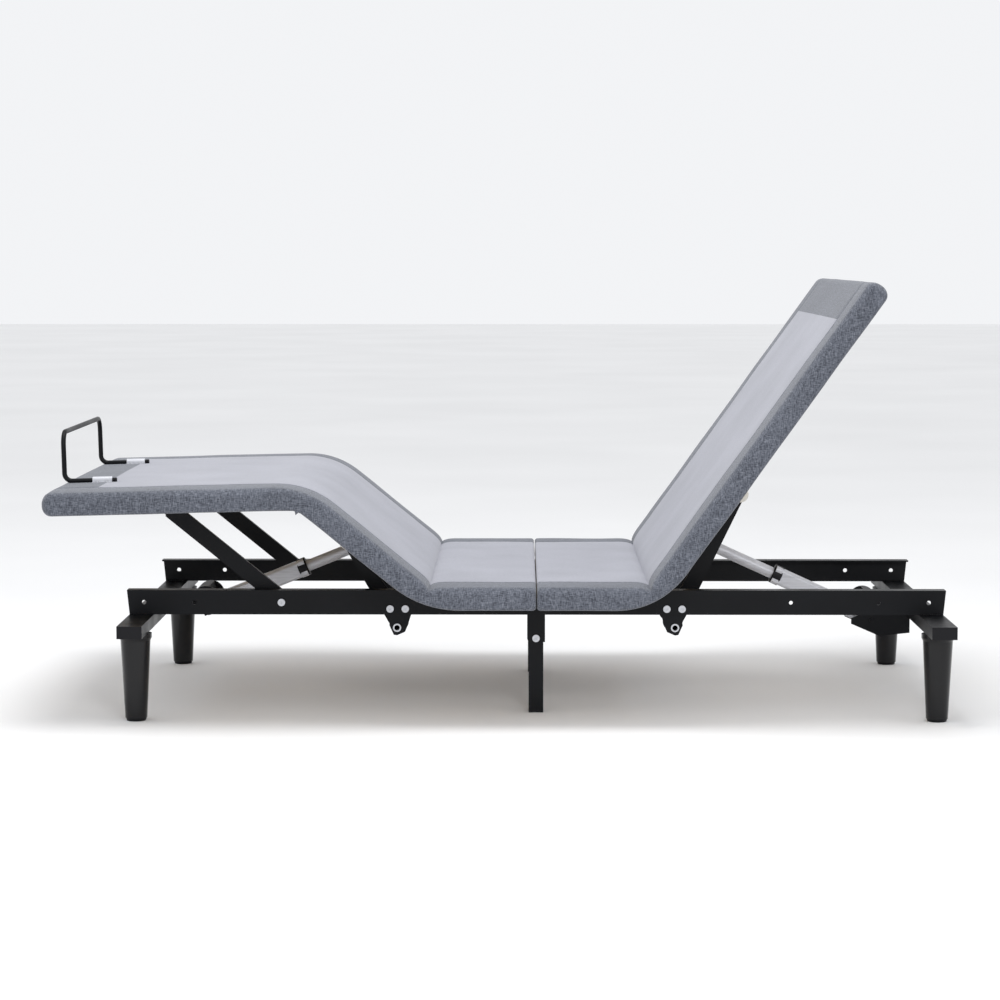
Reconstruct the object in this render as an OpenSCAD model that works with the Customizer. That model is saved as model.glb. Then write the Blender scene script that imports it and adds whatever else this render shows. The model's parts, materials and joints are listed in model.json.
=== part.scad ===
// Adjustable bed base: a padded deck in five panels on a black steel frame.
// Two electric actuators turn lift levers that raise the back and the knees,
// and two support arms keep the foot panel level. Drawn with the back and the
// knees raised. The head end is +X, the left side of a sleeper is -Y.

/* [Deck] */
// Width of the padded deck
deck_w = 960; // [940:5:1000]
// Length of the back panel
back_len = 755; // [700:5:780]
// Distance from the centre seam to the back hinge
seat_head_len = 230; // [225:1:240]
// Distance from the centre seam to the hip hinge
seat_foot_len = 216; // [210:1:225]
// Length of the thigh panel
thigh_len = 305; // [300:1:312]
// Length of the foot panel
foot_len = 505; // [480:5:520]
// Thickness of the deck boards
board_t = 12; // [10:1:14]
// Thickness of the foam over the boards
foam_t = 16; // [12:1:20]
// How far the padded sides hang below the underside of the boards
skirt_h = 18; // [16:1:20]
// Thickness of the padded sides
skirt_t = 14; // [10:1:16]

/* [Pose as drawn] */
// Angle of the back panel above level
back_angle = 54.5; // [0:0.5:65]
// Angle of the thigh panel above level
thigh_angle = 39; // [0:1:45]
// Fall of the foot panel towards its end
foot_fall = 1.4; // [0:0.1:1.6]

/* [Frame] */
// Length of each side rail from the centre seam to its end
rail_len = 836; // [832:1:845]
// Height of the side rails
rail_h = 50; // [46:1:54]
// Width of the side rails' top flange
rail_flange = 30; // [26:1:32]
// Thickness of the rail steel
rail_t = 3; // [3:0.5:5]
// Distance from the middle of the bed to the outer face of each rail
rail_y = 289; // [285:1:295]
// Height of the underside of the rails above the floor
rail_z = 202; // [198:1:210]
// Distance from the centre seam to the cross bars over the legs
crossbar_x = 806; // [795:1:808]
// Distance from the middle of the bed to the legs
leg_y = 385; // [370:1:400]

/* [Hidden] */
$fn = 48;

// Heights of the deck when it lies flat
board_z = rail_z + rail_h;
hinge_z = board_z + board_t;
top_z = hinge_z + foam_t;
skirt_z = board_z - skirt_h;
rail_mid_z = rail_z + rail_h / 2;

// Hinge lines, as [x, z] with the deck flat and x measured from the centre seam
hip = [-seat_foot_len, hinge_z];
knee = [hip[0] - thigh_len, skirt_z];
back_hinge = [seat_head_len, hinge_z];
back_max = 65;
thigh_max = 45;
foot_turn = -(thigh_angle + foot_fall);

// Rotates a point of the x-z plane about another, as rotate([0, a, 0]) does
function turned(p, c, a) = [
    c[0] + (p[0] - c[0]) * cos(a) + (p[1] - c[1]) * sin(a),
    c[1] - (p[0] - c[0]) * sin(a) + (p[1] - c[1]) * cos(a)
];
knee_now = turned(knee, hip, thigh_angle);
foot_tip = knee_now[0] - foot_len * cos(foot_fall) - (top_z - skirt_z) * sin(foot_fall);
shift_x = -(foot_tip + rail_len) / 2;

// Pads keep this gap across a hinge, and open in a V as the hinge closes
seam_gap = 1;
hip_v = foam_t * tan(thigh_max / 2) + seam_gap;
back_v = foam_t * tan(back_max / 2) + seam_gap;

// Strap hinges under the boards
hinge_ys = [-380, -120, 120, 380];
barrel_r = 5;
pin_r = 3;
run_gap = 0.06;
barrel_seg = 14;
leaf_len = 42;
leaf_t = 3;
board_gap = 8;
rest_gap = 0.4;

// Lift levers, actuators and arms
lift_x = 284;
lift_z = 175;
journal_r = 8.5;
lift_tube_r = 12.5;
lever_fork_y = 24;
lever_push_y = 200;
lever_t = 5;
slider_r = 16;
pin_reach = 165;
foot_push_r = 200;
foot_push_angle = 57.4;
foot_pin_angle = 61.1;
back_push_r = 300;
back_push_angle = 62.5;
back_pin_angle = 64.3;
foot_mount = [-700, 184];
back_mount = [715, 160];
foot_motor = [5, 18];
back_motor = [20, 26];
actuator_w = 36;
actuator_len = 225;
rod_r = 12;
foot_rod_start = 135;
back_rod_start = 155;
arm_x = 520;
arm_len = 314;
arm_angle = 39.1;
arm_h = 33;
arm_t = 12;
arm_y = rail_y - rail_flange - 2 - arm_t / 2;
arm_pin_r = 5;
bolt_r = 4;
hole_r = 4.5;
rail_holes = [698, 801];
bracket_bolts = [-17, 14];
bracket_bolt_z = lift_z + 39;
centre_pivot_z = 154;
centre_leg_w = 30;
centre_gap = centre_leg_w + 1;
centre_leg_y = rail_y - centre_gap / 2;

// Where the actuators' rods meet the levers now
foot_pin_now = [-lift_x - pin_reach * cos(foot_pin_angle), lift_z + pin_reach * sin(foot_pin_angle)];
back_pin_now = [lift_x + pin_reach * cos(back_pin_angle), lift_z + pin_reach * sin(back_pin_angle)];
foot_reach = norm(foot_pin_now - foot_mount);
back_reach = norm(back_pin_now - back_mount);
foot_slope = atan2(foot_pin_now[1] - foot_mount[1], foot_pin_now[0] - foot_mount[0]);
back_slope = atan2(back_pin_now[1] - back_mount[1], back_mount[0] - back_pin_now[0]);

frame_black = [0.07, 0.07, 0.08];
pad_grey = [0.42, 0.44, 0.48];
board_brown = [0.55, 0.42, 0.28];
zinc = [0.72, 0.73, 0.75];
alu = [0.84, 0.85, 0.88];
plastic_black = [0.05, 0.05, 0.055];
nylon = [0.9, 0.9, 0.88];

// ---- Placing ----

module turn(c, a) translate([c[0], 0, c[1]]) rotate([0, a, 0]) translate([-c[0], 0, -c[1]]) children();
module on_base() translate([shift_x, 0, 0]) children();
module on_thigh() on_base() turn(hip, thigh_angle) children();
module on_foot() on_thigh() turn(knee, foot_turn) children();
module on_back() on_base() turn(back_hinge, -back_angle) children();
module head_end() mirror([1, 0, 0]) children();
module both_sides() for (m = [0, 1]) mirror([0, m, 0]) children();

// A flat shape drawn in x and z, given a thickness along y
module slab_y(y0, y1) translate([0, y1, 0]) rotate([90, 0, 0]) linear_extrude(height = y1 - y0) children();
module rod_y(x, z, r, y0, y1) translate([x, y1, z]) rotate([90, 0, 0]) cylinder(r = r, h = y1 - y0);
module box(a, b) translate(a) cube(b - a);

// ---- Side rails ----

module rail_half() difference() {
    slab_y(rail_y - rail_flange, rail_y) polygon([
        [0.4, rail_z], [rail_len - 5, rail_z], [rail_len, rail_z + rail_h], [0.4, rail_z + rail_h]]);
    box([-1, rail_y - rail_flange - 1, rail_z - 1], [rail_len + 1, rail_y - rail_t, rail_z + rail_h - rail_t]);
    for (x = rail_holes) rod_y(x, rail_mid_z, hole_r, rail_y - rail_t - 1, rail_y + 1);
    for (dx = bracket_bolts) rod_y(lift_x + dx, bracket_bolt_z, bolt_r, rail_y - rail_t - 1, rail_y + 1);
    rod_y(arm_x, rail_mid_z, bolt_r, rail_y - rail_t - 1, rail_y + 1);
    rod_y(splice_bolts[1], rail_mid_z, bolt_r, rail_y - rail_t - 1, rail_y + 1);
}
module rail_right_head() color(frame_black) on_base() rail_half();
module rail_right_foot() color(frame_black) on_base() head_end() rail_half();
module rail_left_head() color(frame_black) on_base() mirror([0, 1, 0]) rail_half();
module rail_left_foot() color(frame_black) on_base() mirror([0, 1, 0]) head_end() rail_half();

// ---- Cross bars and corner legs ----

crossbar_w = 50;
crossbar_h = 25;
crossbar_t = 2.5;
cap_t = 3;
crossbar_half = deck_w / 2 - 8;
leg_top_r = 31;
leg_foot_r = 22;
leg_pad_h = 6;

module crossbar() difference() {
    box([crossbar_x - crossbar_w / 2, -crossbar_half, rail_z - crossbar_h],
        [crossbar_x + crossbar_w / 2, crossbar_half, rail_z]);
    box([crossbar_x - crossbar_w / 2 + crossbar_t, -crossbar_half - 1, rail_z - crossbar_h + crossbar_t],
        [crossbar_x + crossbar_w / 2 - crossbar_t, crossbar_half + 1, rail_z - crossbar_t]);
}
module crossbar_head() color(frame_black) on_base() crossbar();
module crossbar_foot() color(frame_black) on_base() head_end() crossbar();
module crossbar_cap() {
    box([crossbar_x - crossbar_w / 2, crossbar_half, rail_z - crossbar_h],
        [crossbar_x + crossbar_w / 2, crossbar_half + cap_t, rail_z]);
    box([crossbar_x - crossbar_w / 2 + crossbar_t + 0.3, crossbar_half - 12, rail_z - crossbar_h + crossbar_t + 0.3],
        [crossbar_x + crossbar_w / 2 - crossbar_t - 0.3, crossbar_half + 1, rail_z - crossbar_t - 0.3]);
}
module crossbar_caps() color(plastic_black) on_base()
    for (mx = [0, 1], my = [0, 1]) mirror([mx, 0, 0]) mirror([0, my, 0]) crossbar_cap();

module leg() translate([crossbar_x, leg_y, 0]) rotate_extrude($fn = 64) polygon([
    [0, leg_pad_h], [leg_foot_r, leg_pad_h], [leg_top_r - 1, rail_z - crossbar_h - 14],
    [leg_top_r + 2, rail_z - crossbar_h - 8], [leg_top_r + 2, rail_z - crossbar_h], [0, rail_z - crossbar_h]]);
module leg_head_right() color(plastic_black) on_base() leg();
module leg_foot_right() color(plastic_black) on_base() head_end() leg();
module leg_head_left() color(plastic_black) on_base() mirror([0, 1, 0]) leg();
module leg_foot_left() color(plastic_black) on_base() mirror([0, 1, 0]) head_end() leg();
module leg_pads() color(plastic_black) on_base()
    for (mx = [0, 1], my = [0, 1]) mirror([mx, 0, 0]) mirror([0, my, 0])
        translate([crossbar_x, leg_y, 0]) cylinder(r1 = leg_foot_r - 3, r2 = leg_foot_r - 1, h = leg_pad_h, $fn = 64);

// ---- Fixed brackets, cross members and bolts ----

seat_bar_w = 30;
module seat_crossbars() color(frame_black) on_base() for (x = [-150, 150]) difference() {
    box([x - seat_bar_w / 2, -rail_y + rail_flange, board_z - seat_bar_w],
        [x + seat_bar_w / 2, rail_y - rail_flange, board_z]);
    box([x - seat_bar_w / 2 + 2, -rail_y, board_z - seat_bar_w + 2],
        [x + seat_bar_w / 2 - 2, rail_y, board_z - 2]);
}

// Plate behind the rail that carries one end of a lift tube
module lift_bracket() difference() {
    slab_y(rail_y - rail_t - 4, rail_y - rail_t) polygon([
        [lift_x - 29, rail_z], [lift_x - 20, lift_z], [lift_x - 16, lift_z - 9], [lift_x, lift_z - 16],
        [lift_x + 7, lift_z - 15], [lift_x + 16, lift_z + 5], [lift_x + 15, lift_z + 11],
        [lift_x + 24, rail_z], [lift_x + 34, rail_z + 8], [lift_x + 34, rail_z + rail_h - rail_t],
        [lift_x - 29, rail_z + rail_h - rail_t]]);
    rod_y(lift_x, lift_z, journal_r + run_gap, rail_y - 20, rail_y + 1);
    for (dx = bracket_bolts) rod_y(lift_x + dx, bracket_bolt_z, bolt_r, rail_y - 20, rail_y + 1);
}
module lift_brackets() color(frame_black) on_base()
    for (m = [0, 1]) mirror([m, 0, 0]) both_sides() lift_bracket();

// Bracket over the rails' joint, which holds a folding leg between its two cheeks
centre_w = 36;
cheek_t = 3;
cheek_top_z = 236;
splice_half_l = 45;
splice_bolts = [-30, 30];
module centre_bracket() {
    difference() {
        union() {
            slab_y(centre_leg_y + centre_gap / 2, centre_leg_y + centre_gap / 2 + cheek_t) {
                cheek();
                polygon([[-centre_w / 2, rail_z], [centre_w / 2, rail_z], [centre_w / 2, cheek_top_z - 16],
                    [0, cheek_top_z], [-centre_w / 2, cheek_top_z - 16]]);
            }
            slab_y(centre_leg_y - centre_gap / 2 - cheek_t, centre_leg_y - centre_gap / 2) cheek();
            box([-centre_w / 2, centre_leg_y - centre_gap / 2 - 1, rail_z - cheek_t],
                [centre_w / 2, centre_leg_y + centre_gap / 2 + 1, rail_z]);
            box([centre_leg_w / 2 + 0.5, centre_leg_y - centre_gap / 2 - 1, centre_pivot_z - 8],
                [centre_w / 2 + 0.5, centre_leg_y + centre_gap / 2 + 1, rail_z]);
        }
        rod_y(0, centre_pivot_z, bolt_r, centre_leg_y - 30, centre_leg_y + 30);
    }
    difference() {
        box([-splice_half_l, rail_y - rail_t - 4, rail_z + 4], [splice_half_l, rail_y - rail_t, rail_z + rail_h - rail_t]);
        for (x = splice_bolts) rod_y(x, rail_mid_z, bolt_r, rail_y - 20, rail_y + 1);
    }
}
// Cheek with a round lower corner on the side that the leg folds to
module cheek() difference() {
    translate([-centre_w / 2, centre_pivot_z - 8]) square([centre_w, rail_z - centre_pivot_z + 8]);
    difference() {
        translate([-centre_w / 2 - 1, centre_pivot_z - 9]) square([9, 9]);
        translate([-centre_w / 2 + 8, centre_pivot_z]) circle(r = 8);
    }
}
module centre_brackets() color(frame_black) on_base() both_sides() centre_bracket();

bolt_head_r = 7.5;
bolt_head_h = 4;
// Button-head bolt along y, with its head outside y_out and its thread ending at y_in
module bolt(x, z, y_in, y_out) {
    rod_y(x, z, bolt_r, y_in, y_out);
    difference() {
        rod_y(x, z, bolt_head_r, y_out, y_out + bolt_head_h);
        rod_y(x, z, 2.6, y_out + 1.5, y_out + bolt_head_h + 1);
    }
}
arm_spacer_r = 9;
module frame_bolts() color(zinc) on_base() both_sides() {
    for (s = [0, 1]) mirror([s, 0, 0]) {
        for (dx = bracket_bolts) bolt(lift_x + dx, bracket_bolt_z, rail_y - rail_t - 10, rail_y);
        bolt(splice_bolts[1], rail_mid_z, rail_y - rail_t - 10, rail_y);
    }
    bolt(-arm_x, rail_mid_z, arm_y - arm_t / 2 - 4, rail_y);
    rod_y(-arm_x, rail_mid_z, arm_spacer_r, arm_y + arm_t / 2 + 0.4, rail_y - rail_t);
    rod_y(-arm_x, rail_mid_z, bolt_head_r, arm_y - arm_t / 2 - 4.4, arm_y - arm_t / 2 - 0.4);
    bolt(0, centre_pivot_z, centre_leg_y - 22, centre_leg_y + centre_gap / 2 + cheek_t);
}

// ---- Boards, pads and section frames ----

// Sheet between x0 and x1, with its lower face raised by under
module board(x0, x1, under = 0)
    box([x0, -deck_w / 2 + skirt_t, board_z + under], [x1, deck_w / 2 - skirt_t, hinge_z]);

// Foam tray seen from the side: v0 and v1 bevel its ends for the hinges
module pad_profile(x0, x1, v0, v1) polygon([
    [x0, skirt_z], [x1, skirt_z], [x1, hinge_z], [x1 - v1, top_z], [x0 + v0, top_z], [x0, hinge_z]]);
// wrap0 and wrap1 say whether the padding also closes the end at x0 and at x1
module pad(x0, x1, v0, v1, wrap0 = 0, wrap1 = 0) difference() {
    slab_y(-deck_w / 2, deck_w / 2) pad_profile(x0, x1, v0, v1);
    box([x0 + (wrap0 ? skirt_t : -1), -deck_w / 2 + skirt_t, skirt_z - 1],
        [x1 - (wrap1 ? skirt_t : -1), deck_w / 2 - skirt_t, hinge_z]);
    for (c = [hip, back_hinge], y = hinge_ys) rod_y(c[0], c[1], barrel_r + 2, y - 24, y + 24);
    rod_y(knee[0], knee[1], barrel_r + 3, -deck_w, deck_w);
}

seat_foot_x0 = hip[0] + seam_gap / 2;
seat_head_x1 = back_hinge[0] - seam_gap / 2;
module seat_pad_foot() color(pad_grey) on_base() pad(seat_foot_x0, -seam_gap, hip_v, 3);
module seat_pad_head() color(pad_grey) on_base() pad(seam_gap, seat_head_x1, 3, back_v);
module thigh_pad() color(pad_grey) on_thigh() pad(knee[0] + seam_gap, hip[0] - seam_gap / 2, 0, hip_v);
module foot_pad() color(pad_grey) on_foot() pad(knee[0] - foot_len, knee[0] - seam_gap, 4, 0, 1, 0);
module back_pad() color(pad_grey) on_back()
    pad(back_hinge[0] + seam_gap / 2, back_hinge[0] + back_len, back_v, 4, 0, 1);

module seat_board_foot() color(board_brown) on_base() board(hip[0] + board_gap, -seam_gap);
module seat_board_head() color(board_brown) on_base() board(seam_gap, back_hinge[0] - board_gap);
module thigh_board() color(board_brown) on_thigh() board(knee[0] + 2, hip[0] - board_gap, rest_gap);
module foot_board() color(board_brown) on_foot() board(knee[0] - foot_len + skirt_t, knee[0] - 2, rest_gap);
module back_board() color(board_brown) on_back()
    board(back_hinge[0] + board_gap, back_hinge[0] + back_len - skirt_t, rest_gap);

bar_w = 25;
bar_h = 16;
foot_bar_h = 10;
bar_y = lever_push_y;
joint_gap = 0.4;
// Flat bars under a section: two run lengthways, and the rest cross between them
module section_bars(x0, x1, crossings, h) {
    for (s = [-1, 1]) box([x0, s * bar_y - bar_w / 2, board_z - h], [x1, s * bar_y + bar_w / 2, board_z]);
    for (x = crossings) box([x - bar_w / 2, -bar_y + bar_w / 2 + joint_gap, board_z - h],
        [x + bar_w / 2, bar_y - bar_w / 2 - joint_gap, board_z]);
}
module thigh_frame() color(frame_black) on_thigh()
    section_bars(knee[0] + 12, hip[0] - 54, [knee[0] + 150], bar_h);
module back_frame() color(frame_black) on_back()
    section_bars(back_hinge[0] + 54, back_hinge[0] + back_len - 40,
        [back_hinge[0] + 300, back_hinge[0] + back_len - 60], bar_h);

// The foot section also has two slotted ears, in which the support arms' shaft slides
arm_pin_now = [-arm_x - arm_len * cos(arm_angle), rail_mid_z + arm_len * sin(arm_angle)];
arm_pin_flat = turned(turned(arm_pin_now, hip, -thigh_angle), knee, -foot_turn);
ear_y = arm_y - arm_t / 2 - 2;
ear_t = 4;
slot_out = 28;
slot_in = 10;
slot_half_h = 8;
ear_rim = 12;
module arm_ear() difference() {
    slab_y(ear_y - ear_t, ear_y) translate([arm_pin_flat[0] - slot_out - ear_rim, arm_pin_flat[1] - slot_half_h - 6])
        square([slot_out + slot_in + 2 * ear_rim, board_z - arm_pin_flat[1] + slot_half_h + 6]);
    slab_y(ear_y - ear_t - 1, ear_y + 1) translate([arm_pin_flat[0] - slot_out, arm_pin_flat[1] - slot_half_h])
        square([slot_out + slot_in, 2 * slot_half_h]);
}
module foot_frame() color(frame_black) on_foot() {
    section_bars(knee[0] - foot_len + 40, knee[0] - 12, [knee[0] - 32, knee[0] - foot_len + 60], foot_bar_h);
    both_sides() arm_ear();
}

// ---- Hinges ----

// Barrel with its pin hole along y, on a neck that drops to a leaf under the board.
// way is the side that the leaf lies on, and segs are the barrel's pieces along y.
module leaf(c, way, segs) for (y = hinge_ys, s = segs) {
    difference() {
        union() {
            rod_y(c[0], c[1], barrel_r, y + s[0], y + s[1]);
            slab_y(y + s[0], y + s[1]) polygon([
                [c[0] + way * 0.5, c[1] - barrel_r + 1.5], [c[0] + way * 4.4, c[1] - 1],
                [c[0] + way * 7, board_z], [c[0] + way * 7, board_z - leaf_t], [c[0] + way * 3, board_z - leaf_t]]);
        }
        rod_y(c[0], c[1], pin_r + run_gap, y - 30, y + 30);
    }
    slab_y(y + s[0], y + s[1]) translate([c[0] + (way > 0 ? 6.9 : -leaf_len), board_z - leaf_t])
        square([leaf_len - 6.9, leaf_t]);
}
middle_seg = [[-barrel_seg / 2, barrel_seg / 2]];
outer_segs = [[-22, -barrel_seg / 2 - 0.4], [barrel_seg / 2 + 0.4, 22]];
module hinge_pins(c) for (y = hinge_ys) rod_y(c[0], c[1], pin_r, y - 22, y + 22);
module fixed_hinge_leaves() color(zinc) on_base() {
    leaf(hip, 1, middle_seg);
    leaf(back_hinge, -1, middle_seg);
}
module thigh_hinge_leaves() color(zinc) on_thigh() {
    leaf(hip, -1, outer_segs);
    hinge_pins(hip);
}
module back_hinge_leaves() color(zinc) on_back() {
    leaf(back_hinge, 1, outer_segs);
    hinge_pins(back_hinge);
}

// Knee hinges stand under the skirts, with their barrels on the lower edge
knee_ys = [-430, -120, 120, 430];
knee_barrel_r = 6;
module knee_leaf(way, segs) for (y = knee_ys, s = segs) {
    difference() {
        union() {
            rod_y(knee[0], knee[1], knee_barrel_r, y + s[0], y + s[1]);
            slab_y(y + s[0], y + s[1]) polygon([
                [knee[0] + way * 1, knee[1] + 3], [knee[0] + way * 5.8, knee[1]], [knee[0] + way * 9, board_z - leaf_t],
                [knee[0] + way * 19, board_z - leaf_t], [knee[0] + way * 19, board_z], [knee[0] + way * 5, board_z]]);
        }
        rod_y(knee[0], knee[1], pin_r + run_gap, y - 30, y + 30);
    }
}
module knee_hinge_thigh() color(frame_black) on_thigh() knee_leaf(1, middle_seg);
module knee_hinge_foot() color(frame_black) on_foot() {
    knee_leaf(-1, outer_segs);
    for (y = knee_ys) rod_y(knee[0], knee[1], pin_r, y - 22, y + 22);
}

// ---- Mattress retainer ----

retainer_x = knee[0] - foot_len + 11;
retainer_half = 245;
retainer_h = 100;
retainer_r = 5;
retainer_foot = 107;
retainer_bend = 28;
rod_z = top_z + retainer_r;
// Quarter bend in the plane of x and y, centred on the origin
module quarter_bend(r) rotate_extrude(angle = 90) translate([r, 0]) circle(r = retainer_r, $fn = 24);
module upright_half() {
    // Foot that lies on the pad
    translate([retainer_x + 16, retainer_half, rod_z]) rotate([0, 90, 0])
        cylinder(r = retainer_r, h = retainer_foot - 16, $fn = 24);
    // Bend from the foot up to the post
    translate([retainer_x + 16, retainer_half, rod_z + 16]) rotate([90, 0, 0]) rotate([0, 0, 180]) quarter_bend(16);
    // Post
    translate([retainer_x, retainer_half, rod_z + 16])
        cylinder(r = retainer_r, h = retainer_h - 16 - retainer_bend, $fn = 24);
    // Bend from the post into the top bar
    translate([retainer_x, retainer_half - retainer_bend, rod_z + retainer_h - retainer_bend])
        rotate([0, -90, 0]) rotate([0, 0, 0]) quarter_bend(retainer_bend);
    translate([retainer_x, 0, rod_z + retainer_h]) rotate([-90, 0, 0])
        cylinder(r = retainer_r, h = retainer_half - retainer_bend, $fn = 24);
}
module retainer_bar() color(plastic_black) on_foot() both_sides() upright_half();
clamp_x = retainer_x + 78;
module clamp() difference() {
    translate([clamp_x, retainer_half, top_z]) union() {
        box([-20, -17, 0], [20, 17, 3]);
        translate([-20, 0, retainer_r]) rotate([0, 90, 0]) cylinder(r = retainer_r + 3, h = 40);
        box([-20, -retainer_r - 3, 0], [20, retainer_r + 3, retainer_r]);
    }
    translate([clamp_x - 30, retainer_half, rod_z]) rotate([0, 90, 0]) cylinder(r = retainer_r + 0.1, h = 60);
    box([clamp_x - 30, retainer_half - 30, top_z - 20], [clamp_x + 30, retainer_half + 30, top_z]);
    box([clamp_x - 30, retainer_half - retainer_r - 0.1, top_z - 1],
        [clamp_x + 30, retainer_half + retainer_r + 0.1, top_z + retainer_r]);
}
module retainer_clamps() color(alu) on_foot() both_sides() clamp();
module retainer_screws() color(zinc) on_foot() both_sides()
    for (dx = [-10, 10], dy = [-12.5, 12.5])
        translate([clamp_x + dx, retainer_half + dy, top_z + 3]) cylinder(r1 = 3.5, r2 = 2.5, h = 2, $fn = 24);

// ---- Support arms ----

// Arm drawn along +x from its pivot at the origin
module arm_shape() difference() {
    union() {
        slab_y(-arm_t / 2, arm_t / 2) difference() {
            translate([0, -arm_h / 2]) square([arm_len - 18, arm_h]);
            translate([arm_len - 18, arm_h / 2 - 3]) rotate(-45) translate([-2, 0]) square(40);
        }
        rod_y(0, 0, arm_h / 2, -arm_t / 2, arm_t / 2);
        slab_y(-arm_t / 2, arm_t / 2) polygon([
            [arm_len - 40, -arm_h / 2], [arm_len, -12], [arm_len, 12], [arm_len - 40, 12]]);
        rod_y(arm_len, 0, 12, -arm_t / 2, arm_t / 2);
    }
    rod_y(0, 0, bolt_r + run_gap, -20, 20);
    rod_y(arm_len, 0, arm_pin_r, -20, 20);
}
module at_arm(side) on_base() translate([-arm_x, side * arm_y, rail_mid_z])
    rotate([0, arm_angle, 0]) mirror([1, 0, 0]) children();
module support_arm_right() color(frame_black) at_arm(1) arm_shape();
module support_arm_left() color(frame_black) at_arm(-1) arm_shape();
module arm_shaft() color(zinc) at_arm(0)
    rod_y(arm_len, 0, arm_pin_r, -arm_y - arm_t / 2 - 2, arm_y + arm_t / 2 + 2);

// ---- Lift levers ----

module at_foot_lift() on_base() translate([-lift_x, 0, lift_z]) mirror([1, 0, 0]) children();
module at_back_lift() on_base() translate([lift_x, 0, lift_z]) children();
tube_end_y = rail_y - rail_t - 6;
module lift_tube() difference() {
    union() {
        rod_y(0, 0, journal_r, -rail_y - 1.5, rail_y + 1.5);
        rod_y(0, 0, lift_tube_r, -tube_end_y, tube_end_y);
    }
    rod_y(0, 0, journal_r - 3, -rail_y - 3, rail_y + 3);
}
// Plate from the lift tube out to radius reach at the given angle, centred on y
module lever_plate(y, reach, angle, root_r, tip_r) translate([0, y, 0]) rotate([0, -angle, 0]) difference() {
    slab_y(-lever_t / 2, lever_t / 2) {
        circle(r = root_r);
        translate([reach, 0]) circle(r = tip_r);
        polygon([[0, -root_r], [reach, -tip_r], [reach, tip_r], [0, root_r]]);
    }
    rod_y(0, 0, lift_tube_r, -lever_t, lever_t);
    rod_y(reach, 0, bolt_r + 1, -lever_t, lever_t);
}
push_plate_y = lever_push_y - 13;
module levers(push_r, push_angle, pin_angle) for (s = [-1, 1]) {
    lever_plate(s * lever_fork_y, pin_reach, pin_angle, 20, 14);
    lever_plate(s * push_plate_y, push_r, push_angle, 20, 11);
}
// Nylon sliders that bear on the underside of the section bars, each on a stub in its lever
module sliders(push_r, push_angle) both_sides() rotate([0, -push_angle, 0]) {
    rod_y(push_r, 0, slider_r, push_plate_y + lever_t / 2, lever_push_y + 8);
    rod_y(push_r, 0, bolt_r + 1, push_plate_y - lever_t / 2 - 3, push_plate_y + lever_t / 2);
}
// Stub bolts in the two fork plates, clear of the rod's eye between them
module fork_pins(pin_angle) both_sides() rotate([0, -pin_angle, 0]) {
    rod_y(pin_reach, 0, bolt_r + 1, lever_fork_y - 8, lever_fork_y + lever_t / 2);
    rod_y(pin_reach, 0, bolt_head_r, lever_fork_y + lever_t / 2, lever_fork_y + lever_t / 2 + bolt_head_h);
}
module foot_lift_tube() color(zinc) at_foot_lift() lift_tube();
module foot_lift_levers() color(frame_black) at_foot_lift() levers(foot_push_r, foot_push_angle, foot_pin_angle);
module foot_lift_sliders() color(nylon) at_foot_lift() sliders(foot_push_r, foot_push_angle);
module foot_lift_pins() color(zinc) at_foot_lift() fork_pins(foot_pin_angle);
module back_lift_tube() color(zinc) at_back_lift() lift_tube();
module back_lift_levers() color(frame_black) at_back_lift() levers(back_push_r, back_push_angle, back_pin_angle);
module back_lift_sliders() color(nylon) at_back_lift() sliders(back_push_r, back_push_angle);
module back_lift_pins() color(zinc) at_back_lift() fork_pins(back_pin_angle);

// ---- Actuators ----

eye_t = 16;
eye_r = 12;
bore_start = 30;
module at_foot_actuator() on_base() translate([foot_mount[0], 0, foot_mount[1]])
    rotate([0, -foot_slope, 0]) children();
module at_back_actuator() on_base() translate([back_mount[0], 0, back_mount[1]]) mirror([1, 0, 0])
    rotate([0, -back_slope, 0]) children();
corner_r = 7;
// Square with round corners, in the plane across an actuator
module tube_section(w) {
    square([w, w - 2 * corner_r], center = true);
    square([w - 2 * corner_r, w], center = true);
    for (a = [-1, 1], b = [-1, 1]) translate([a, b] * (w / 2 - corner_r)) circle(r = corner_r);
}
// Extruded tube along +x, bored for the rod, with a collar at its end
module actuator_tube() difference() {
    union() {
        translate([bore_start - 8, 0, 0]) rotate([90, 0, 90])
            linear_extrude(height = actuator_len - bore_start + 8 - collar_l) tube_section(actuator_w);
        translate([actuator_len - collar_l, 0, 0]) rotate([90, 0, 90])
            linear_extrude(height = collar_l) tube_section(actuator_w + 2);
    }
    translate([bore_start, 0, 0]) rotate([0, 90, 0]) cylinder(r = rod_r + 0.06, h = actuator_len);
}
collar_l = 14;
gearbox_half = 30;
motor_r = 29;
motor_half = 54;
// Gearbox with the pivot bore, and the motor that lies across it
module actuator_motor(centre) difference() {
    union() {
        box([-14, -gearbox_half + 0.5, -16], [bore_start - 8, gearbox_half - 0.5, 16]);
        rod_y(0, 0, 18, -gearbox_half, gearbox_half);
        rod_y(centre[0], centre[1], motor_r, -motor_half, motor_half);
    }
    rod_y(0, 0, 5 + run_gap, -100, 100);
    translate([bore_start - 8, 0, 0]) rotate([90, 0, 90]) linear_extrude(height = 100) square(100, center = true);
}
module actuator_rod(start, reach) difference() {
    union() {
        translate([start, 0, 0]) rotate([0, 90, 0]) cylinder(r = rod_r, h = reach - start - 8);
        rod_y(reach, 0, eye_r, -eye_t / 2, eye_t / 2);
    }
    rod_y(reach, 0, bolt_r, -eye_t, eye_t);
}
module foot_actuator_tube() color(alu) at_foot_actuator() actuator_tube();
module back_actuator_tube() color(alu) at_back_actuator() actuator_tube();
module foot_actuator_motor() color(plastic_black) at_foot_actuator() actuator_motor(foot_motor);
module back_actuator_motor() color(plastic_black) at_back_actuator() actuator_motor(back_motor);
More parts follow.
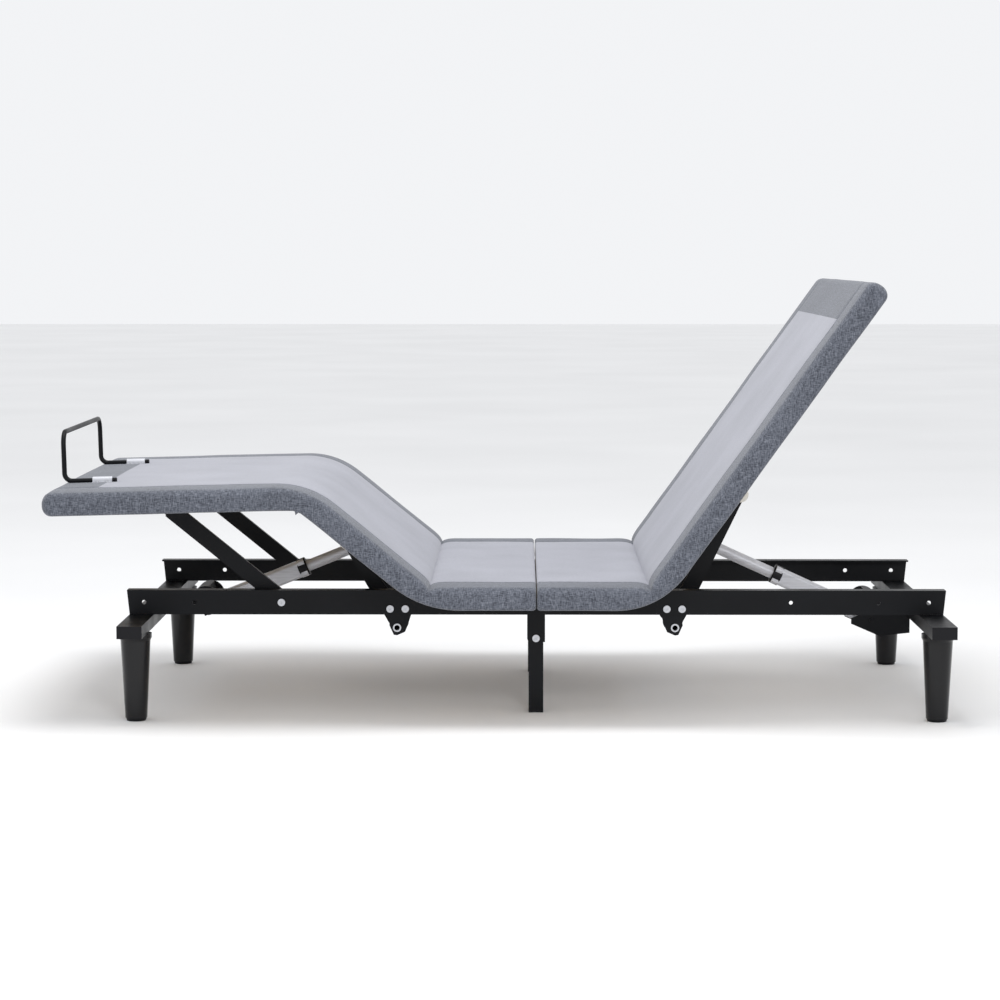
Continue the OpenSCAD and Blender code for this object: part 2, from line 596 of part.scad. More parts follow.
module foot_actuator_rod() color(alu) at_foot_actuator() actuator_rod(foot_rod_start, foot_reach);
module back_actuator_rod() color(alu) at_back_actuator() actuator_rod(back_rod_start, back_reach);

// Two plates and a pin at each cross bar, which hold the end of an actuator
clevis_y = 58;
clevis_t = 4;
clevis_rim = 11;
module clevis(at, outline) {
    both_sides() slab_y(clevis_y, clevis_y + clevis_t) {
        polygon(outline);
        translate(at) circle(r = clevis_rim);
    }
    rod_y(at[0], at[1], 5, -clevis_y - clevis_t - 3, clevis_y + clevis_t + 3);
}
bar_face = crossbar_x - crossbar_w / 2;
bar_foot = rail_z - crossbar_h;
module actuator_clevises() color(frame_black) on_base() {
    clevis(back_mount, [[back_mount[0] - 44, bar_foot - 24], [back_mount[0] + 16, bar_foot - 50],
        [bar_face + 14, bar_foot - 43], [bar_face + 14, bar_foot], [back_mount[0] - 15, bar_foot],
        [back_mount[0] - 44, bar_foot - 12]]);
    head_end() clevis([-foot_mount[0], foot_mount[1]], [[bar_face, bar_foot], [bar_face, rail_z],
        [-foot_mount[0] - 6, foot_mount[1] + clevis_rim], [-foot_mount[0], foot_mount[1] - clevis_rim]]);
}

// Electronics case, hung from the seat boards
box_half_x = 65;
box_half_y = 60;
module control_box() color(plastic_black) on_base()
    box([-box_half_x, -box_half_y, board_z - 45], [box_half_x, box_half_y, board_z]);

// ---- Folding centre legs ----

module leg_side(inset) {
    translate([-centre_leg_w / 2 + inset, -1]) square([centre_leg_w - 2 * inset, centre_pivot_z + 1]);
    translate([0, centre_pivot_z]) circle(r = centre_leg_w / 2 - inset);
}
module centre_leg() difference() {
    slab_y(centre_leg_y - centre_leg_w / 2, centre_leg_y + centre_leg_w / 2) leg_side(0);
    slab_y(centre_leg_y - centre_leg_w / 2 + 2, centre_leg_y + centre_leg_w / 2 - 2) leg_side(2);
    box([-centre_leg_w, 0, -2], [centre_leg_w, rail_y + 10, 5]);
    rod_y(0, centre_pivot_z, bolt_r + run_gap, centre_leg_y - 30, centre_leg_y + 30);
}
module centre_leg_right() color(frame_black) on_base() centre_leg();
module centre_leg_left() color(frame_black) on_base() mirror([0, 1, 0]) centre_leg();
module centre_leg_cap() {
    box([-centre_leg_w / 2, centre_leg_y - centre_leg_w / 2, 0],
        [centre_leg_w / 2, centre_leg_y + centre_leg_w / 2, 5]);
}
module centre_leg_cap_right() color(plastic_black) on_base() centre_leg_cap();
module centre_leg_cap_left() color(plastic_black) on_base() mirror([0, 1, 0]) centre_leg_cap();

rail_left_foot();
rail_left_head();
rail_right_foot();
rail_right_head();
crossbar_foot();
crossbar_head();
crossbar_caps();
leg_foot_left();
leg_foot_right();
leg_head_left();
leg_head_right();
leg_pads();
seat_crossbars();
centre_brackets();
lift_brackets();
frame_bolts();
seat_board_foot();
seat_board_head();
seat_pad_foot();
seat_pad_head();
fixed_hinge_leaves();
actuator_clevises();
control_box();
thigh_board();
thigh_pad();
thigh_frame();
thigh_hinge_leaves();
knee_hinge_thigh();
foot_board();
foot_pad();
foot_frame();
knee_hinge_foot();
retainer_bar();
retainer_clamps();
retainer_screws();
back_board();
back_pad();
back_frame();
back_hinge_leaves();
support_arm_left();
support_arm_right();
arm_shaft();
foot_lift_tube();
foot_lift_levers();
foot_lift_sliders();
foot_lift_pins();
back_lift_tube();
back_lift_levers();
back_lift_sliders();
back_lift_pins();
foot_actuator_tube();
foot_actuator_motor();
foot_actuator_rod();
back_actuator_tube();
back_actuator_motor();
back_actuator_rod();
centre_leg_left();
centre_leg_right();
centre_leg_cap_left();
centre_leg_cap_right();
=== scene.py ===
"""Studio scene of an adjustable bed base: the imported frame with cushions, finishes, lights and a camera."""
import json
import math
from collections import namedtuple

import bmesh
import bpy
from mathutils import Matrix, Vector, noise


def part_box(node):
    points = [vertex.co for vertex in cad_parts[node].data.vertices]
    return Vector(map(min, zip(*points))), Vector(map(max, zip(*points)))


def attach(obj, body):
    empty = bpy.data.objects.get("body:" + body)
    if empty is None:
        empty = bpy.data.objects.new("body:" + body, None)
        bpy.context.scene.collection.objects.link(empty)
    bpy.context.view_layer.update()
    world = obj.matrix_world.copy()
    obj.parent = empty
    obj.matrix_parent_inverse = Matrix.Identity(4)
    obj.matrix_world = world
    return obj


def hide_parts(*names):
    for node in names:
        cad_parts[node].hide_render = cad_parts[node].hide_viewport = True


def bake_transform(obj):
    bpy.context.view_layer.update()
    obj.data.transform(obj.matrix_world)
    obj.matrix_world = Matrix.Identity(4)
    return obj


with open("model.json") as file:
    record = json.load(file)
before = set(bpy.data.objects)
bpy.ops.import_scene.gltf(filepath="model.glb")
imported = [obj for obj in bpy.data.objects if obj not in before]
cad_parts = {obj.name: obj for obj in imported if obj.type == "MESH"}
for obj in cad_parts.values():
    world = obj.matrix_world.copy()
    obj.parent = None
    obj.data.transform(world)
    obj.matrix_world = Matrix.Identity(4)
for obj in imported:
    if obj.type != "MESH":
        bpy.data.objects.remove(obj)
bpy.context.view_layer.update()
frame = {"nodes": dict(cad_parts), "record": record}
JOINTS = {joint["name"]: joint for joint in frame["record"]["behaviour"]["joints"]}

# ---- Deck geometry, in metres: read from the frame, then the part's own values that it doesn't state ----

SEAT_LOW, SEAT_HIGH = (Vector(corner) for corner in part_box("seat_pad_head"))
SEAM_X = (SEAT_LOW.x + Vector(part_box("seat_pad_foot")[1]).x) / 2
HALF_W = SEAT_HIGH.y
SKIRT_Z = SEAT_LOW.z
TOP_Z = SEAT_HIGH.z
PAD_H = TOP_Z - SKIRT_Z
HIP = Vector(JOINTS["thigh_hinge"]["pos_m"])
KNEE = Vector(JOINTS["foot_hinge"]["pos_m"])
BACK = Vector(JOINTS["back_hinge"]["pos_m"])
BACK_ANGLE = math.radians(-JOINTS["back_hinge"]["range_deg"][0])
THIGH_ANGLE = math.radians(-JOINTS["thigh_hinge"]["range_deg"][0])
FOAM_T = TOP_Z - HIP.z

FOOT_FALL = math.radians(1.4)
SKIRT_T = 0.014
BACK_LEN = 0.755
FOOT_LEN = 0.505
THIGH_LEN = 0.305

EDGE_R = 0.016          # rounding of the pads' long top edges
LOWER_R = 0.009         # rounding of the skirts' lower edges
END_R = 0.02            # rounding of the deck's two free ends
CROWN = 0.002           # rise of the foam between the sides
PANEL_INSET = 0.095     # dark border beside the light panel
END_BAND = 0.1          # dark band across the deck's two ends
BAND_GAP = 0.001        # between the last ring of one stretch and the first of the next
STITCH_DEPTH = 0.0012   # dip where the light panel meets its border
STEP = 0.012            # spacing of the rings along a pad
HIP_REACH = 0.07        # how far from a hinge the strip of bending cloth begins
BACK_REACH = 0.08
KNEE_REACH = 0.05
SEAM_GAP = 0.001        # half the gap between the two seat pads
SEAM_R = 0.007          # roll of their facing ends
SEAM_RUN = 0.012        # from the gap to the plain stretch
TOP_RIPPLE = 0.0012     # unevenness of the stuffing, upwards and sideways
SIDE_RIPPLE = 0.0018
RIPPLE_SCALE = 9
RIPPLE_SHIFT = Vector((3, 3, 3))

BEVEL_W = 0.0007        # rounding of the CAD nodes' edges
BEVEL_LIMIT = math.radians(50)

# ---- Materials ----

MIX_FACTOR, MIX_A, MIX_B = 0, 6, 7
MIX_COLOR = 2
GLOSS_LIMIT = 0.3       # plastics smoother than this get a clear coat


def new_material(name, roughness, metallic=0.0):
    """A material with nodes, and its shader."""
    material = bpy.data.materials.new(name)
    material.use_nodes = True
    shader = material.node_tree.nodes["Principled BSDF"]
    shader.inputs["Roughness"].default_value = roughness
    shader.inputs["Metallic"].default_value = metallic
    return material, shader


def add(material, kind, **sockets):
    """A node with some of its inputs set; an underscore stands for a space in their names."""
    node = material.node_tree.nodes.new(kind)
    for name, value in sockets.items():
        node.inputs[name.replace("_", " ")].default_value = value
    return node


def wire(material, source, target):
    material.node_tree.links.new(source, target)


def mapped(material, scale):
    """Object coordinates, stretched by scale."""
    coords = add(material, "ShaderNodeTexCoord")
    mapping = add(material, "ShaderNodeMapping", Scale=scale)
    wire(material, coords.outputs["Object"], mapping.inputs["Vector"])
    return mapping.outputs["Vector"]


def noise_of(material, scale, stretch=(1, 1, 1), detail=2.0):
    """Noise in the object's own coordinates."""
    texture = add(material, "ShaderNodeTexNoise", Scale=scale, Detail=detail)
    wire(material, mapped(material, stretch), texture.inputs["Vector"])
    return texture.outputs["Fac"]


def ramp(material, source, stops):
    """Turns a value into a colour. A stop is (position, colour)."""
    node = add(material, "ShaderNodeValToRGB")
    elements = node.color_ramp.elements
    while len(elements) < len(stops):
        elements.new(0.5)
    for element, (position, color) in zip(elements, stops):
        element.position = position
        element.color = (*color, 1)
    wire(material, source, node.inputs["Fac"])
    return node.outputs["Color"]


def mix(material, kind, factor, a, b):
    node = add(material, "ShaderNodeMix")
    node.data_type = "RGBA"
    node.blend_type = kind
    node.inputs[MIX_FACTOR].default_value = factor
    wire(material, a, node.inputs[MIX_A])
    wire(material, b, node.inputs[MIX_B])
    return node.outputs[MIX_COLOR]


def bump(material, shader, height, strength, distance):
    node = add(material, "ShaderNodeBump", Strength=strength, Distance=distance)
    wire(material, height, node.inputs["Height"])
    wire(material, node.outputs["Normal"], shader.inputs["Normal"])


def cloth(name, dark, mid, light, contrast, slub):
    """Plain-woven cloth: threads along and across, slubs in their shade, and a broad unevenness."""
    material, shader = new_material(name, 0.92)
    shader.inputs["Sheen Weight"].default_value = 0.25
    shader.inputs["Sheen Roughness"].default_value = 0.5
    shader.inputs["Specular IOR Level"].default_value = 0.25
    along = noise_of(material, slub, (0.16, 1, 1))
    across = noise_of(material, slub, (1, 0.16, 0.16))
    low, high = 0.5 - contrast, 0.5 + contrast
    stops = [(low, dark), (0.5, mid), (high, light)]
    threads = mix(material, "MIX", 0.5, ramp(material, along, stops), ramp(material, across, stops))
    patches = ramp(material, noise_of(material, 7.0), [(0.3, (0.88, 0.88, 0.88)), (0.7, (1, 1, 1))])
    wire(material, mix(material, "MULTIPLY", 1.0, threads, patches), shader.inputs["Base Color"])
    weave = mix(material, "MIX", 0.5, along, across)
    bump(material, shader, weave, 0.35, 0.0006)
    return material


def coated_steel(name, color, roughness):
    """Powder coat: fine orange peel and slight wear of the sheen."""
    material, shader = new_material(name, roughness)
    shader.inputs["Specular IOR Level"].default_value = 0.16
    speckle = noise_of(material, 900.0)
    wear = noise_of(material, 12.0, detail=5.0)
    darker = tuple(channel * 0.8 for channel in color)
    lighter = tuple(channel * 1.25 for channel in color)
    wire(material, ramp(material, wear, [(0.35, darker), (0.7, lighter)]), shader.inputs["Base Color"])
    shine = ramp(material, wear, [(0.3, (roughness - 0.06,) * 3), (0.7, (roughness + 0.08,) * 3)])
    wire(material, shine, shader.inputs["Roughness"])
    bump(material, shader, speckle, 0.12, 0.0003)
    return material


def bare_metal(name, color, roughness, stretch, metallic=1.0):
    """Metal with fine marks drawn along one direction."""
    material, shader = new_material(name, roughness, metallic)
    marks = noise_of(material, 260.0, stretch, 4.0)
    darker = tuple(channel * 0.82 for channel in color)
    wire(material, ramp(material, marks, [(0.3, darker), (0.7, color)]), shader.inputs["Base Color"])
    wire(material, ramp(material, marks, [(0.3, (roughness + 0.1,) * 3), (0.7, (roughness,) * 3)]),
         shader.inputs["Roughness"])
    bump(material, shader, marks, 0.08, 0.0002)
    return material


def moulded(name, color, roughness, grain):
    """Moulded plastic with a fine grain and faint flow marks."""
    material, shader = new_material(name, roughness)
    shader.inputs["Coat Weight"].default_value = 0.3 if roughness < GLOSS_LIMIT else 0.0
    shader.inputs["Specular IOR Level"].default_value = 0.2
    flow = noise_of(material, 5.0, (1, 1, 0.3))
    darker = tuple(channel * 0.85 for channel in color)
    wire(material, ramp(material, flow, [(0.3, darker), (0.7, color)]), shader.inputs["Base Color"])
    bump(material, shader, noise_of(material, grain), 0.1, 0.0003)
    return material


def plywood(name):
    """Veneer with its grain along the bed."""
    material, shader = new_material(name, 0.7)
    grain = noise_of(material, 30.0, (0.12, 1, 3), 6.0)
    stops = [(0.3, (0.36, 0.25, 0.14)), (0.55, (0.52, 0.38, 0.23)), (0.75, (0.62, 0.47, 0.3))]
    wire(material, ramp(material, grain, stops), shader.inputs["Base Color"])
    bump(material, shader, grain, 0.15, 0.0005)
    return material


MATERIALS = {
    "black_frame": coated_steel("powder_coat", (0.0035, 0.004, 0.0055), 0.4),
    "zinc": bare_metal("zinc_plate", (0.55, 0.56, 0.59), 0.3, (1, 1, 1)),
    "aluminium": bare_metal("anodised_alu", (0.6, 0.61, 0.65), 0.36, (0.1, 1, 1), 0.45),
    "leg_plastic": moulded("leg_gloss", (0.003, 0.003, 0.004), 0.2, 60.0),
    "black_plastic": moulded("plastic_matt", (0.006, 0.006, 0.008), 0.45, 700.0),
    "nylon": moulded("nylon", (0.82, 0.82, 0.79), 0.45, 300.0),
    "board": plywood("plywood"),
}
DARK_CLOTH = cloth(
    "cloth_melange", dark=(0.035, 0.039, 0.052), mid=(0.098, 0.107, 0.132), light=(0.21, 0.225, 0.265),
    contrast=0.15, slub=800.0)
LIGHT_CLOTH = cloth(
    "cloth_light", dark=(0.27, 0.275, 0.315), mid=(0.325, 0.33, 0.375), light=(0.38, 0.385, 0.43),
    contrast=0.2, slub=1100.0)


def finish_nodes():
    """Gives each CAD node its finish, and rounds the edges of frame, plastic and boards a little."""
    slots = {part["node"]: part["material_slot"] for part in frame["record"]["subparts"]}
    for name, node in frame["nodes"].items():
        material = MATERIALS.get(slots[name], DARK_CLOTH)
        for slot in node.material_slots:
            slot.material = material
        if slots[name] in ("black_frame", "black_plastic", "board"):
            edges = node.modifiers.new("worn_edges", "BEVEL")
            edges.width = BEVEL_W
            edges.segments = 2
            edges.limit_method = "ANGLE"
            edges.angle_limit = BEVEL_LIMIT
            edges.use_clamp_overlap = True
            edges.harden_normals = True


# ---- Pads ----

Station = namedtuple("Station", "low high squeeze solid banded")


def arc(center, radius, start, end, count):
    """Points on an arc, from angle start to angle end in degrees."""
    angles = (math.radians(start + (end - start) * i / count) for i in range(count + 1))
    return [(center[0] + radius * math.cos(a), center[1] + radius * math.sin(a)) for a in angles]


def half_section():
    """Right half of a pad's section as (y, height above the skirt's lower edge, part), from the inside out
    and up to the middle. The part is 0 on the inside, 1 on the dark cloth and 2 on the light panel."""
    inner = HALF_W - SKIRT_T
    under = PAD_H - FOAM_T
    points = [(0.0, under, 0), (inner * 0.5, under, 0), (inner, under, 0), (inner, LOWER_R, 0)]
    points += [(y, z, 1) for y, z in arc((HALF_W - LOWER_R, LOWER_R), LOWER_R, 250, 360, 5)]
    points += [(HALF_W, LOWER_R + (PAD_H - EDGE_R - LOWER_R) * i / 4, 1) for i in range(1, 4)]
    points += [(y, z, 1) for y, z in arc((HALF_W - EDGE_R, PAD_H - EDGE_R), EDGE_R, 0, 88, 7)]
    seam = HALF_W - PANEL_INSET
    border_z = PAD_H + CROWN * 0.3
    lip = 0.004
    points += [(y, border_z, 1) for y in (seam + 0.05, seam + 0.02, seam + lip)]
    points.append((seam, border_z - STITCH_DEPTH, 1))
    points.append((seam - lip, PAD_H + CROWN * 0.5, 2))
    for share in (0.9, 0.7, 0.5, 0.25):
        points.append((seam * share, PAD_H + CROWN * (1 - share * share * 0.5), 2))
    points.append((0.0, PAD_H + CROWN, 2))
    return points


def closed(half):
    """The whole loop of a section: the right half from the inside out, then the left half back."""
    return half + [(-y, z, part) for y, z, part in reversed(half[1:-1])]


SECTION = closed(half_section())


def object_of(name, mesh, materials):
    """Turns a bmesh into an object with these materials."""
    bmesh.ops.recalc_face_normals(mesh, faces=mesh.faces)
    data = bpy.data.meshes.new(name)
    mesh.to_mesh(data)
    mesh.free()
    made = bpy.data.objects.new(name, data)
    bpy.context.scene.collection.objects.link(made)
    for material in materials:
        data.materials.append(material)
    return made


def ripple(point, amount):
    """Slow unevenness of stuffed cloth, the same in every run."""
    return amount * noise.noise(point * RIPPLE_SCALE)


def place_point(station, y, z, part):
    """Where a point of SECTION lies at a station."""
    up = station.high - station.low
    share = z / PAD_H
    if part == 0 and station.solid:
        share = LOWER_R / PAD_H
    if station.squeeze:
        inset = station.squeeze / up.length
        y -= math.copysign(min(station.squeeze, abs(y)), y)
        if part or station.solid:
            share = 0.5 + (share - 0.5) * (1 - 2 * inset)
        else:
            share += inset
    spot = station.low + up * share + Vector((0, y, 0))
    if part:
        spot += up.normalized() * ripple(spot, TOP_RIPPLE)
        if abs(y) > HALF_W - EDGE_R:
            spot.y += math.copysign(ripple(spot + RIPPLE_SHIFT, SIDE_RIPPLE), y)
    return spot


def build_pad(name, stations):
    """Sweeps SECTION through stations and caps both ends. A station's low and high are where the section's
    foot and top lie, squeeze pulls its outline in, solid closes its hollow, and banded keeps its top dark."""
    mesh = bmesh.new()
    count = len(SECTION)
    rings = [[mesh.verts.new(place_point(station, *point)) for point in SECTION] for station in stations]
    for ring in (rings[0], rings[-1]):
        mesh.faces.new(ring)
        for i in range(count):
            mesh.edges.get((ring[i], ring[(i + 1) % count])).smooth = False
    for index in range(len(rings) - 1):
        banded = stations[index].banded or stations[index + 1].banded
        here, beyond = rings[index], rings[index + 1]
        for i in range(count):
            j = (i + 1) % count
            face = mesh.faces.new((here[i], here[j], beyond[j], beyond[i]))
            face.smooth = True
            light = SECTION[i][2] == 2 and SECTION[j][2] == 2
            face.material_index = 1 if light and not banded else 0
    pad = object_of(name, mesh, (DARK_CLOTH, LIGHT_CLOTH))
    return pad


def level(x):
    """Lower and upper points of the flat seat at x."""
    return Vector((x, 0, SKIRT_Z)), Vector((x, 0, TOP_Z))


def panel_axes(angle, sign):
    """Directions along a raised panel, away from its hinge, and out of its top."""
    along = Vector((sign * math.cos(angle), 0, math.sin(angle)))
    out = Vector((-sign * math.sin(angle), 0, math.cos(angle)))
    return along, out


def on_panel(hinge, angle, sign, distance, low, high):
    """Points at two heights over a panel, at a distance from its hinge."""
    along, out = panel_axes(angle, sign)
    base = hinge + along * distance
    return base + out * low, base + out * high


def back_at(distance):
    return on_panel(BACK, BACK_ANGLE, 1, distance, SKIRT_Z - BACK.z, TOP_Z - BACK.z)


def thigh_at(distance):
    return on_panel(HIP, THIGH_ANGLE, -1, distance, SKIRT_Z - HIP.z, TOP_Z - HIP.z)


def foot_at(distance):
    return on_panel(KNEE, -FOOT_FALL, -1, distance, 0.0, PAD_H)


def run(place, start, end, banded=False):
    """Stations about every STEP from start to end."""
    count = max(2, round(abs(end - start) / STEP))
    distances = [start + (end - start) * i / count for i in range(count + 1)]
    return [Station(*place(distance), 0.0, False, banded) for distance in distances]


def rounded_end(place, length, steps=7):
    """Stations that round the free end of a panel off to its cap."""
    stations = []
    for i in range(steps + 1):
        angle = math.radians(90 * i / steps)
        squeeze = END_R * (1 - math.cos(angle))
        spot = place(length - END_R + END_R * math.sin(angle))
        stations.append(Station(*spot, squeeze, i > 0, True))
    return stations


def seam_end(x, side, steps=5):
    """Stations that roll a seat pad's end over at the centre seam."""
    stations = []
    for i in range(steps + 1):
        angle = math.radians(90 * i / steps)
        squeeze = SEAM_R * (1 - math.cos(angle)) * 0.8
        stations.append(Station(*level(x - side * SEAM_R * (1 - math.sin(angle))), squeeze, False, False))
    return stations


def curve(a, corner, b, t):
    """A point on the quadratic curve from a to b that is drawn towards corner."""
    return a * (1 - t) ** 2 + corner * 2 * t * (1 - t) + b * t * t


def crossing(p, d, q, e):
    """Where the line through p along d meets the line through q along e, in x and z."""
    det = d.x * e.z - d.z * e.x
    t = ((q.x - p.x) * e.z - (q.z - p.z) * e.x) / det
    return p + d * t


def two_lines(a, corner, b, t):
    """A point on the straight way from a to corner and on to b."""
    return a.lerp(corner, 2 * t) if t < 0.5 else corner.lerp(b, 2 * t - 1)


def bend(first, second, d_first, d_second, outside, hinge, count=26):
    """Stations of the cloth that turns from one section to the next. outside is "low" where the underside
    is the outside of the bend, with a crease at the hinge above it, and "high" where the top is."""
    (low_a, high_a), (low_b, high_b) = first, second
    low_corner = crossing(low_a, d_first, low_b, d_second)
    high_corner = crossing(high_a, d_first, high_b, d_second)
    stations = []
    for i in range(count + 1):
        t = i / count
        low = curve(low_a, low_corner, low_b, t)
        high = curve(high_a, high_corner, high_b, t)
        near = max(0.0, 1 - abs(t - 0.5) * 2)
        if outside == "low":
            high = high.lerp(two_lines(high_a, high_corner, high_b, t), 0.85)
            high = high.lerp(hinge, 0.45 * near ** 6)
        else:
            low = low.lerp(two_lines(low_a, low_corner, low_b, t), 0.9)
            low = low + (low - high).normalized() * 0.009 * near ** 24
        stations.append(Station(low, high, 0.0, False, False))
    return stations


def cushion(name, stations, body, node):
    """A pad that stands in for a CAD pad."""
    pad = build_pad(name, stations)
    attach(pad, body)
    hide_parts(node)


def panel_stations(place, start, length):
    """Stations of a panel from its cloth strip to its free end, which is banded."""
    band = length - END_BAND
    plain = run(place, start, band)
    dark = run(place, band + BAND_GAP, length - END_R - BAND_GAP, banded=True)
    return plain + dark + rounded_end(place, length)


def cushions():
    """The five pads, each on its own panel."""
    head_x, foot_x = SEAM_X + SEAM_GAP, SEAM_X - SEAM_GAP
    head = seam_end(head_x, -1)[::-1] + run(level, head_x + SEAM_RUN, BACK.x - BACK_REACH)
    foot = seam_end(foot_x, 1)[::-1] + run(level, foot_x - SEAM_RUN, HIP.x + HIP_REACH)
    cushion("seat_cushion_head", head, "base", "seat_pad_head")
    cushion("seat_cushion_foot", foot, "base", "seat_pad_foot")
    cushion("back_cushion", panel_stations(back_at, BACK_REACH, BACK_LEN), "back", "back_pad")
    cushion("thigh_cushion", run(thigh_at, HIP_REACH, THIGH_LEN - KNEE_REACH), "thigh", "thigh_pad")
    cushion("foot_cushion", panel_stations(foot_at, KNEE_REACH, FOOT_LEN), "foot", "foot_pad")


def bending_strips():
    """The strips of cloth over the knee, hip and back hinges, between the pads they join."""
    seat_dir = Vector((1, 0, 0))
    back_dir, _ = panel_axes(BACK_ANGLE, 1)
    thigh_dir, _ = panel_axes(THIGH_ANGLE, -1)
    foot_dir, _ = panel_axes(-FOOT_FALL, -1)

    thigh_end, foot_start = thigh_at(THIGH_LEN - KNEE_REACH), foot_at(KNEE_REACH)
    knee = build_pad("knee_cloth", bend(thigh_end, foot_start, thigh_dir, foot_dir, "high", KNEE))
    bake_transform(knee)

    seat_end, thigh_start = level(HIP.x + HIP_REACH), thigh_at(HIP_REACH)
    hip = build_pad("hip_cloth", bend(seat_end, thigh_start, seat_dir, thigh_dir, "low", HIP))
    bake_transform(hip)

    seat_end, back_start = level(BACK.x - BACK_REACH), back_at(BACK_REACH)
    spine = build_pad("back_cloth", bend(seat_end, back_start, seat_dir, back_dir, "low", BACK))
    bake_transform(spine)


# ---- Small metal and plastic pieces ----

COLLAR_R = 0.0205
COLLAR_BORE = 0.0125
COLLAR_L = 0.017        # over the tube
COLLAR_LIP = 0.003      # past the tube's end
COLLAR_CHAMFER = 0.0012
SLEEVE_R = 0.01915      # inside the collar, around the tube
SLEEVE_GAP = 0.0004
ROD_START = 0.225       # from an actuator's pivot to the open end of its tube
BEAD_R = 0.0026
BEAD_STEP = 0.0045
BEAD_END = 0.005        # from the ends of the overlap of rail and cross bar
BEAD_OUT = 0.0008       # the outer row's place from the rail's web
BEAD_IN = 0.0038
BEAD_LIFT = 0.0006


def finished(name, mesh, slot, body):
    """Makes an object of a bmesh, gives it its slot's finish and lets it ride on a body."""
    piece = object_of(name, mesh, (MATERIALS[slot],))
    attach(piece, body)


def lathe(mesh, profile, place, axis, count=48):
    """Turns a closed profile of (distance along, radius) about axis. Straight walls and flat faces keep sharp
    edges."""
    turn = Vector(axis).to_track_quat("X", "Z").to_matrix()
    rings = []
    for i in range(count):
        angle = 2 * math.pi * i / count
        around = Vector((0, math.cos(angle), math.sin(angle)))
        rings.append([mesh.verts.new(place + turn @ (Vector((d, 0, 0)) + around * r)) for d, r in profile])
    for i in range(count):
        here, beyond = rings[i], rings[(i + 1) % count]
        for j in range(len(profile)):
            k = (j + 1) % len(profile)
            face = mesh.faces.new((here[j], here[k], beyond[k], beyond[j]))
            face.smooth = True
            if any(abs(a - b) < 1e-6 for a, b in zip(profile[j], profile[k])):
                for edge in face.edges:
                    edge.smooth = False


def actuator_collars():
    """Black end rings on the open ends of the actuators' tubes."""
    profile = [
        (-COLLAR_L, SLEEVE_R), (-COLLAR_L, COLLAR_R - COLLAR_CHAMFER), (COLLAR_CHAMFER - COLLAR_L, COLLAR_R),
        (COLLAR_LIP - COLLAR_CHAMFER, COLLAR_R), (COLLAR_LIP, COLLAR_R - COLLAR_CHAMFER),
        (COLLAR_LIP, COLLAR_BORE), (SLEEVE_GAP, COLLAR_BORE), (SLEEVE_GAP, SLEEVE_R)]
    for side in ("foot", "back"):
        axis = Vector(JOINTS[side + "_actuator_stroke"]["axis"]).normalized()
        place = Vector(JOINTS[side + "_actuator_tilt"]["pos_m"]) + axis * ROD_START
        mesh = bmesh.new()
        lathe(mesh, profile, place, axis)
        finished(side + "_actuator_collar", mesh, "black_plastic", side + "_tube")


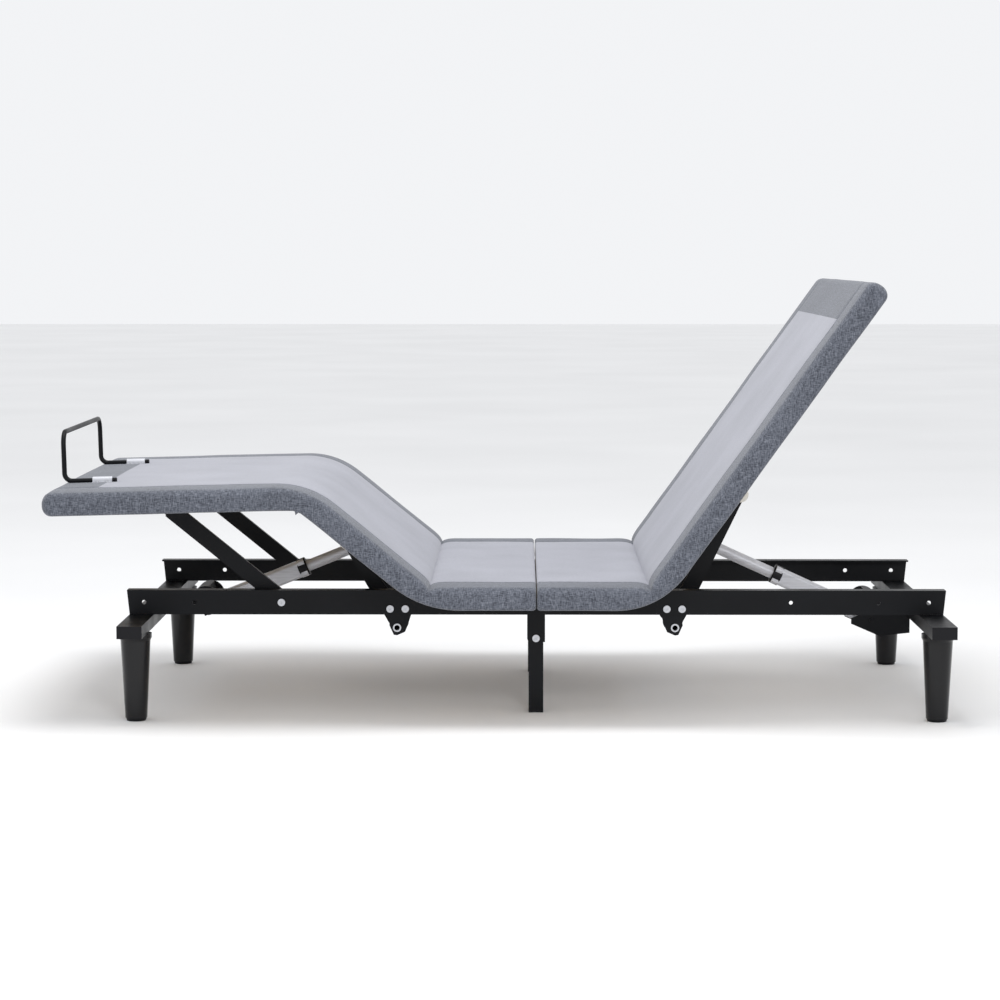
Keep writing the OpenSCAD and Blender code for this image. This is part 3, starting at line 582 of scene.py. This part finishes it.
def weld_beads():
    """Beads along both faces of each rail's web, where it stands on a cross bar."""
    for end in ("foot", "head"):
        low, high = (Vector(corner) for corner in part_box("crossbar_" + end))
        for side, hand in ((-1, "left"), (1, "right")):
            rail_low, rail_high = (Vector(corner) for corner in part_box("rail_%s_%s" % (hand, end)))
            outer = rail_high.y if side > 0 else -rail_low.y
            mesh = bmesh.new()
            x = max(low.x, rail_low.x) + BEAD_END
            stop = min(high.x, rail_high.x) - BEAD_END
            while x < stop:
                for y in (outer + BEAD_OUT, outer - BEAD_IN):
                    radius = BEAD_R * (1 + 0.25 * noise.noise(Vector((x * 300, y * 50, side))))
                    ball = bmesh.ops.create_icosphere(mesh, subdivisions=2, radius=radius)["verts"]
                    bmesh.ops.translate(mesh, verts=ball, vec=(x, side * y, high.z + BEAD_LIFT))
                x += BEAD_STEP
            for face in mesh.faces:
                face.smooth = True
            finished("weld_%s_%s" % (end, hand), mesh, "black_frame", "base")


# ---- Studio ----


def area_light(name, place, target, size, power):
    """A round lamp at place that faces target."""
    light = bpy.data.lights.new(name, "AREA")
    light.shape = "DISK"
    light.size = size
    light.energy = power
    lamp = bpy.data.objects.new(name, light)
    lamp.location = place
    lamp.rotation_euler = (Vector(target) - Vector(place)).to_track_quat("-Z", "Y").to_euler()
    bpy.context.scene.collection.objects.link(lamp)


def studio():
    """A pale floor and sky, one lamp overhead and one beside the camera."""
    bpy.ops.mesh.primitive_plane_add(size=60, location=(0, 0, 0))
    floor = bpy.context.object
    floor.name = "floor"
    material, shader = new_material("floor_paint", 0.75)
    stops = [(0.3, (0.86, 0.86, 0.86)), (0.7, (0.9, 0.9, 0.9))]
    wire(material, ramp(material, noise_of(material, 0.8), stops), shader.inputs["Base Color"])
    floor.data.materials.append(material)
    world = bpy.data.worlds.new("studio")
    bpy.context.scene.world = world
    world.use_nodes = True
    background = world.node_tree.nodes["Background"]
    background.inputs["Color"].default_value = (0.97, 0.98, 1.0, 1)
    background.inputs["Strength"].default_value = 0.92
    area_light("overhead", (-0.3, -0.4, 3.6), target=(0, 0, 0.2), size=1.6, power=60)
    area_light("front_fill", (0.8, -4.6, 2.2), target=(0, 0, 0.3), size=1.2, power=45)


CAMERA_PLACE = (0.04, -5.84, 0.94)
CAMERA_PITCH = 5.175    # degrees below level
CAMERA_YAW = 0.44
CAMERA_LENS = 98.6
CAMERA_SENSOR = 36


def camera():
    """The view from beside the bed, a little above the deck."""
    data = bpy.data.cameras.new("camera")
    data.lens = CAMERA_LENS
    data.sensor_width = CAMERA_SENSOR
    eye = bpy.data.objects.new("camera", data)
    eye.location = CAMERA_PLACE
    eye.rotation_euler = (math.radians(90 - CAMERA_PITCH), 0, math.radians(CAMERA_YAW))
    bpy.context.scene.collection.objects.link(eye)
    bpy.context.scene.camera = eye


camera()
finish_nodes()
cushions()
bending_strips()
actuator_collars()
weld_beads()
studio()
bpy.context.scene.view_settings.view_transform = "Standard"
